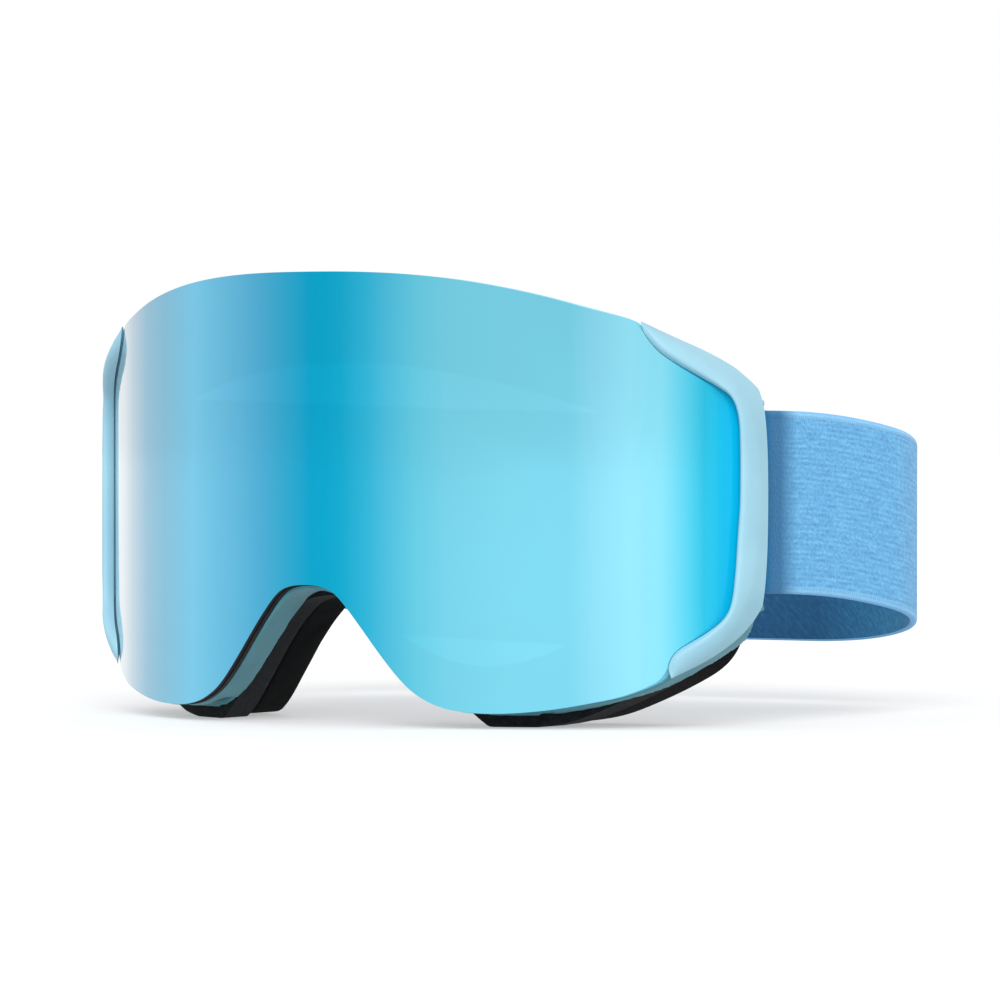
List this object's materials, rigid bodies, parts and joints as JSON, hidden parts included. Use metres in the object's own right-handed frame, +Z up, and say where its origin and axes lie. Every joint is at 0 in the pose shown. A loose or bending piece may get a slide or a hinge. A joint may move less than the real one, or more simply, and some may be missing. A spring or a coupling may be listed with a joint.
{
  "type": "ski goggles",
  "caption": "Ski goggles with a large cylindrical mirrored lens held by magnets, a soft clawed frame, layered face foam and a wide elastic strap with a slider.",
  "frame": {"origin": "middle of the box in X and Y, on the plane that the flat underside of the face foam stands on", "axes": "+X to the wearer's left, across the goggles, +Y from the lens to the back of the strap, +Z up; the lens faces -Y"},
  "size_m": [0.1694, 0.1552, 0.0953],
  "materials": {
    "lens": "polished",
    "frame": "satin",
    "gasket": "matte",
    "carrier": "satin",
    "inner_lens": "polished",
    "magnet": "satin",
    "base_foam": "matte",
    "fleece": "matte",
    "vent_foam": "matte",
    "pin": "satin",
    "strap": "matte",
    "slider": "satin",
    "grip": "satin"
  },
  "bodies": {
    "frame": {"frame": "frame", "frame_magnet_left_1": "magnet", "frame_magnet_left_2": "magnet", "frame_magnet_left_3": "magnet", "frame_magnet_left_4": "magnet", "frame_magnet_right_1": "magnet", "frame_magnet_right_2": "magnet", "frame_magnet_right_3": "magnet", "frame_magnet_right_4": "magnet", "face_foam_base": "base_foam", "face_foam_fleece": "fleece", "vent_foam_top_left": "vent_foam", "vent_foam_top_middle": "vent_foam", "vent_foam_top_right": "vent_foam", "vent_foam_bottom_left": "vent_foam", "vent_foam_bottom_right": "vent_foam", "strap_pin_left": "pin", "strap_pin_right": "pin", "strap_main": "strap", "strap_fold": "strap", "strap_grip_1": "grip", "strap_grip_2": "grip", "strap_grip_3": "grip"},
    "lens": {"outer_lens": "lens", "lens_gasket": "gasket", "inner_lens": "inner_lens", "lens_carrier": "carrier", "lens_magnet_left_1": "magnet", "lens_magnet_left_2": "magnet", "lens_magnet_left_3": "magnet", "lens_magnet_left_4": "magnet", "lens_magnet_right_1": "magnet", "lens_magnet_right_2": "magnet", "lens_magnet_right_3": "magnet", "lens_magnet_right_4": "magnet"},
    "strap_end_left": {"strap_end_left": "strap"},
    "strap_end_right": {"strap_end_right": "strap"},
    "slider": {"strap_slider": "slider"}
  },
  "joints": [
    {"name": "lens_pull", "type": "slide", "parent": "frame", "child": "lens", "axis": [0, -1, 0], "range_m": [0, 0.04]},
    {"name": "strap_end_left_swing", "type": "hinge", "parent": "frame", "child": "strap_end_left", "pos_m": [-0.0775, -0.02305, 0.0462], "axis": [0, 0, 1], "range_deg": [-12, 20]},
    {"name": "strap_end_right_swing", "type": "hinge", "parent": "frame", "child": "strap_end_right", "pos_m": [0.0775, -0.02305, 0.0462], "axis": [0, 0, -1], "range_deg": [-12, 20]},
    {"name": "slider_slide", "type": "slide", "parent": "frame", "child": "slider", "axis": [1, 0, 0], "range_m": [-0.006, 0.006]}
  ]
}
